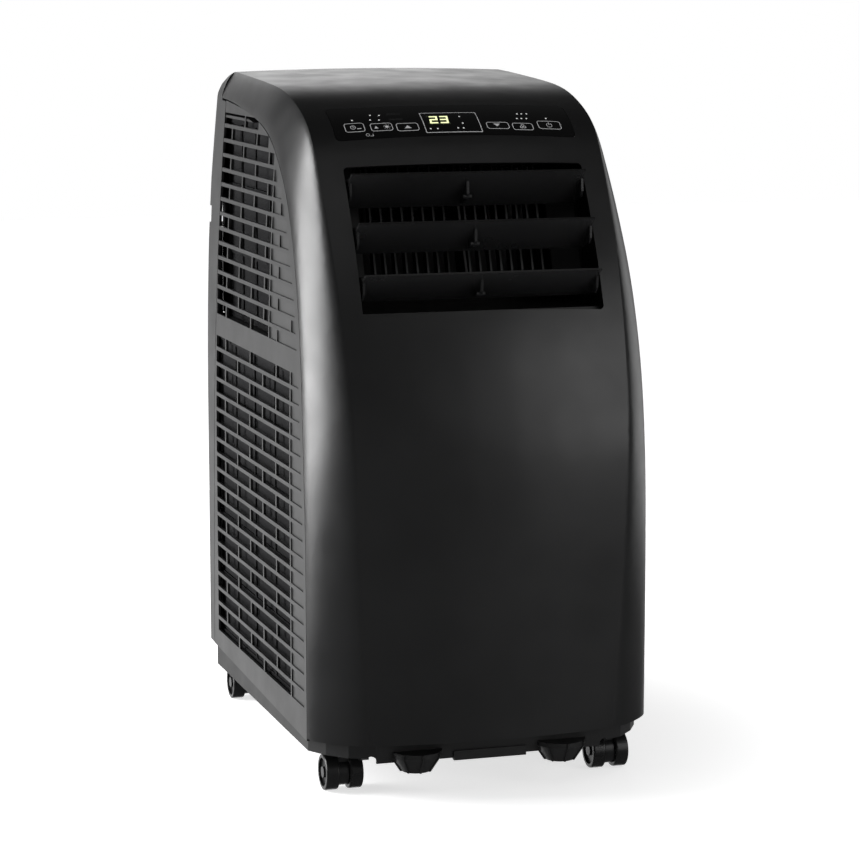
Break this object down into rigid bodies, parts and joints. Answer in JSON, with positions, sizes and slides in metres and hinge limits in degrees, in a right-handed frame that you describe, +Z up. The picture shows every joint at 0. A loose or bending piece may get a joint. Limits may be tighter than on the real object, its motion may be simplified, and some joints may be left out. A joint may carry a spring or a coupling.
{
  "type": "portable air conditioner",
  "caption": "Upright portable air conditioner on swivel casters, with an arched front, swinging outlet louvres, touch panel, side intake grilles and a rear exhaust collar.",
  "frame": {"origin": "on the floor under the middle of the outer box", "axes": "+Z up, +X to the right seen from the front, +Y to the back"},
  "size_m": [0.3166, 0.4353, 0.6235],
  "materials": {
    "shell_plastic": "satin",
    "base_plastic": "satin",
    "panel_gloss": "gloss",
    "screw_steel": "polished",
    "circuit_board": "satin",
    "display_plastic": "gloss",
    "duct_plastic": "matte",
    "louvre_plastic": "satin",
    "motor_steel": "satin",
    "fin_aluminium": "satin",
    "fan_plastic": "satin",
    "compressor_paint": "satin",
    "rubber": "matte",
    "copper": "satin",
    "switch_plastic": "satin",
    "box_steel": "satin",
    "filter_mesh": "matte",
    "plug_plastic": "satin",
    "caster_plastic": "satin",
    "axle_steel": "satin",
    "wheel_plastic": "satin"
  },
  "bodies": {
    "casing": {"front_cover": "shell_plastic", "control_panel_lens": "panel_gloss", "right_side_panel": "shell_plastic", "left_side_panel": "shell_plastic", "rear_cover": "shell_plastic", "base_pan": "base_plastic", "cover_screws": "screw_steel", "control_board": "circuit_board", "display_module": "display_plastic", "outlet_duct": "duct_plastic", "outlet_guard": "duct_plastic", "louvre_motor": "motor_steel", "evaporator_coil": "fin_aluminium", "evaporator_scroll": "duct_plastic", "evaporator_motor": "motor_steel", "partition_deck": "base_plastic", "condenser_coil": "fin_aluminium", "condenser_scroll": "duct_plastic", "condenser_motor": "motor_steel", "exhaust_duct": "duct_plastic", "exhaust_collar": "duct_plastic", "compressor": "compressor_paint", "compressor_mounts": "rubber", "refrigerant_pipes": "copper", "slinger_motor": "motor_steel", "float_switch": "switch_plastic", "electrical_box": "box_steel", "run_capacitor": "switch_plastic", "lower_drain_spout": "base_plastic", "cord_gland": "plug_plastic"},
    "louvre_middle": {"louvre_middle": "louvre_plastic"},
    "louvre_top": {"louvre_top": "louvre_plastic"},
    "louvre_bottom": {"louvre_bottom": "louvre_plastic"},
    "louvre_link": {"louvre_link": "louvre_plastic"},
    "evaporator_blower": {"evaporator_blower": "fan_plastic"},
    "condenser_blower": {"condenser_blower": "fan_plastic"},
    "water_slinger": {"water_slinger": "fan_plastic"},
    "float": {"float": "switch_plastic"},
    "lower_filter_left": {"lower_filter_left": "filter_mesh"},
    "lower_filter_right": {"lower_filter_right": "filter_mesh"},
    "upper_filter_left": {"upper_filter_left": "filter_mesh"},
    "upper_filter_right": {"upper_filter_right": "filter_mesh"},
    "upper_drain_plug": {"upper_drain_plug": "plug_plastic"},
    "lower_drain_plug": {"lower_drain_plug": "plug_plastic"},
    "caster_front_left": {"caster_hood_front_left": "caster_plastic", "caster_axle_front_left": "axle_steel"},
    "caster_wheel_front_left_outer": {"caster_wheel_front_left_outer": "wheel_plastic"},
    "caster_wheel_front_left_inner": {"caster_wheel_front_left_inner": "wheel_plastic"},
    "caster_front_right": {"caster_hood_front_right": "caster_plastic", "caster_axle_front_right": "axle_steel"},
    "caster_wheel_front_right_outer": {"caster_wheel_front_right_outer": "wheel_plastic"},
    "caster_wheel_front_right_inner": {"caster_wheel_front_right_inner": "wheel_plastic"},
    "caster_rear_left": {"caster_hood_rear_left": "caster_plastic", "caster_axle_rear_left": "axle_steel"},
    "caster_wheel_rear_left_outer": {"caster_wheel_rear_left_outer": "wheel_plastic"},
    "caster_wheel_rear_left_inner": {"caster_wheel_rear_left_inner": "wheel_plastic"},
    "caster_rear_right": {"caster_hood_rear_right": "caster_plastic", "caster_axle_rear_right": "axle_steel"},
    "caster_wheel_rear_right_outer": {"caster_wheel_rear_right_outer": "wheel_plastic"},
    "caster_wheel_rear_right_inner": {"caster_wheel_rear_right_inner": "wheel_plastic"}
  },
  "joints": [
    {"name": "louvre_middle_swing", "type": "hinge", "parent": "casing", "child": "louvre_middle", "pos_m": [0, -0.13662, 0.49022], "axis": [1, 0, 0], "range_deg": [-30, 20]},
    {"name": "louvre_top_swing", "type": "hinge", "parent": "casing", "child": "louvre_top", "pos_m": [0, -0.11341, 0.52853], "axis": [1, 0, 0], "range_deg": [-30, 20]},
    {"name": "louvre_bottom_swing", "type": "hinge", "parent": "casing", "child": "louvre_bottom", "pos_m": [0, -0.15438, 0.44934], "axis": [1, 0, 0], "range_deg": [-30, 20]},
    {"name": "louvre_link_swing", "type": "hinge", "parent": "louvre_middle", "child": "louvre_link", "pos_m": [-0.1114, -0.12462, 0.49022], "axis": [1, 0, 0], "range_deg": [-20, 30]},
    {"name": "evaporator_blower_spin", "type": "hinge", "parent": "casing", "child": "evaporator_blower", "pos_m": [0, -0.0015, 0.482], "axis": [1, 0, 0], "continuous": true},
    {"name": "condenser_blower_spin", "type": "hinge", "parent": "casing", "child": "condenser_blower", "pos_m": [0.055, -0.0415, 0.205], "axis": [1, 0, 0], "continuous": true},
    {"name": "water_slinger_spin", "type": "hinge", "parent": "casing", "child": "water_slinger", "pos_m": [-0.06, 0.0415, 0.084], "axis": [0, 1, 0], "continuous": true},
    {"name": "float_rise", "type": "slide", "parent": "casing", "child": "float", "axis": [0, 0, 1], "range_m": [0, 0.012]},
    {"name": "lower_filter_left_pull", "type": "slide", "parent": "casing", "child": "lower_filter_left", "axis": [0, 1, 0], "range_m": [0, 0.28]},
    {"name": "lower_filter_right_pull", "type": "slide", "parent": "casing", "child": "lower_filter_right", "axis": [0, 1, 0], "range_m": [0, 0.28]},
    {"name": "upper_filter_left_pull", "type": "slide", "parent": "casing", "child": "upper_filter_left", "axis": [0, 1, 0], "range_m": [0, 0.22]},
    {"name": "upper_filter_right_pull", "type": "slide", "parent": "casing", "child": "upper_filter_right", "axis": [0, 1, 0], "range_m": [0, 0.22]},
    {"name": "upper_drain_plug_pull", "type": "slide", "parent": "casing", "child": "upper_drain_plug", "axis": [0, 1, 0], "range_m": [0, 0.036]},
    {"name": "lower_drain_plug_pull", "type": "slide", "parent": "casing", "child": "lower_drain_plug", "axis": [0, 1, 0], "range_m": [0, 0.036]},
    {"name": "caster_front_left_swivel", "type": "hinge", "parent": "casing", "child": "caster_front_left", "pos_m": [-0.125, -0.1475, 0.034], "axis": [0, 0, 1], "continuous": true},
    {"name": "caster_wheel_front_left_outer_spin", "type": "hinge", "parent": "caster_front_left", "child": "caster_wheel_front_left_outer", "pos_m": [-0.125, -0.1535, 0.0164], "axis": [1, 0, 0], "continuous": true},
    {"name": "caster_wheel_front_left_inner_spin", "type": "hinge", "parent": "caster_front_left", "child": "caster_wheel_front_left_inner", "pos_m": [-0.125, -0.1535, 0.0164], "axis": [1, 0, 0], "continuous": true},
    {"name": "caster_front_right_swivel", "type": "hinge", "parent": "casing", "child": "caster_front_right", "pos_m": [0.125, -0.1475, 0.034], "axis": [0, 0, 1], "continuous": true},
    {"name": "caster_wheel_front_right_outer_spin", "type": "hinge", "parent": "caster_front_right", "child": "caster_wheel_front_right_outer", "pos_m": [0.125, -0.1535, 0.0164], "axis": [1, 0, 0], "continuous": true},
    {"name": "caster_wheel_front_right_inner_spin", "type": "hinge", "parent": "caster_front_right", "child": "caster_wheel_front_right_inner", "pos_m": [0.125, -0.1535, 0.0164], "axis": [1, 0, 0], "continuous": true},
    {"name": "caster_rear_left_swivel", "type": "hinge", "parent": "casing", "child": "caster_rear_left", "pos_m": [-0.125, 0.2025, 0.034], "axis": [0, 0, 1], "continuous": true},
    {"name": "caster_wheel_rear_left_outer_spin", "type": "hinge", "parent": "caster_rear_left", "child": "caster_wheel_rear_left_outer", "pos_m": [-0.125, 0.1965, 0.0164], "axis": [1, 0, 0], "continuous": true},
    {"name": "caster_wheel_rear_left_inner_spin", "type": "hinge", "parent": "caster_rear_left", "child": "caster_wheel_rear_left_inner", "pos_m": [-0.125, 0.1965, 0.0164], "axis": [1, 0, 0], "continuous": true},
    {"name": "caster_rear_right_swivel", "type": "hinge", "parent": "casing", "child": "caster_rear_right", "pos_m": [0.125, 0.2025, 0.034], "axis": [0, 0, 1], "continuous": true},
    {"name": "caster_wheel_rear_right_outer_spin", "type": "hinge", "parent": "caster_rear_right", "child": "caster_wheel_rear_right_outer", "pos_m": [0.125, 0.1965, 0.0164], "axis": [1, 0, 0], "continuous": true},
    {"name": "caster_wheel_rear_right_inner_spin", "type": "hinge", "parent": "caster_rear_right", "child": "caster_wheel_rear_right_inner", "pos_m": [0.125, 0.1965, 0.0164], "axis": [1, 0, 0], "continuous": true}
  ],
  "couplings": [
    {"joint": "louvre_top_swing", "follows": "louvre_middle_swing", "ratio": 1},
    {"joint": "louvre_bottom_swing", "follows": "louvre_middle_swing", "ratio": 1},
    {"joint": "louvre_link_swing", "follows": "louvre_middle_swing", "ratio": -1}
  ]
}
